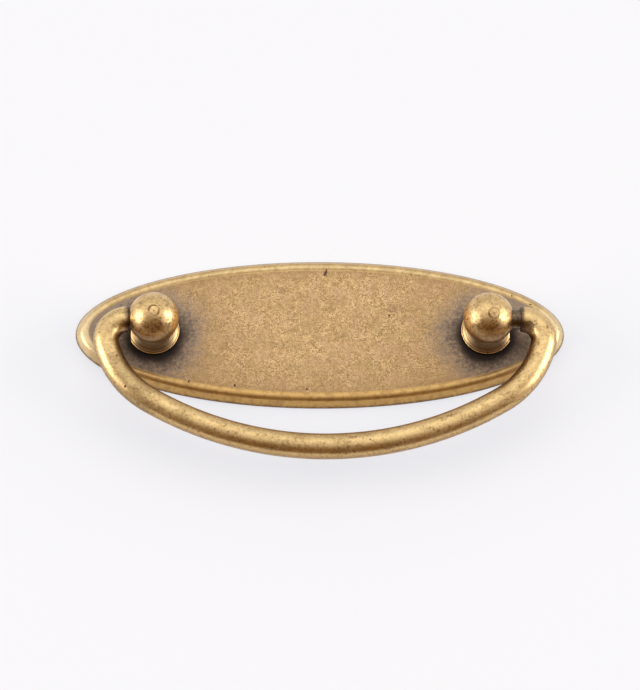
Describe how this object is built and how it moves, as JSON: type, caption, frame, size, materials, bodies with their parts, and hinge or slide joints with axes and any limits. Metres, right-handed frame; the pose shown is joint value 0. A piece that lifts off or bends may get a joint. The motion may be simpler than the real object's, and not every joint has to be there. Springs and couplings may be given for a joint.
{
  "type": "plate handle",
  "caption": "Oval backplate drawer handle with two ball posts and a swinging round-rod bail between them.",
  "frame": {"origin": "centre of the backplate's flat back, midway between the two screw holes", "axes": "+X along the plate, +Z out of its face, -Y the side the bail hangs to"},
  "size_m": [0.094, 0.043, 0.0147],
  "materials": {
    "aged_cast_brass": "mottled aged cast brass, rim polished by wear",
    "turned_brass": "turned and polished brass, dark in the hollow",
    "handled_brass": "hand-worn brass rod with fine specks"
  },
  "bodies": {
    "base": {"backplate": "aged_cast_brass", "post_left": "turned_brass", "post_right": "turned_brass"},
    "bail": {"bail": "handled_brass"}
  },
  "joints": [
    {"name": "bail_swing", "type": "hinge", "parent": "base", "child": "bail", "pos_m": [0, 0, 0.009], "axis": [-1, 0, 0], "range_deg": [-14.5, 194.5]}
  ]
}
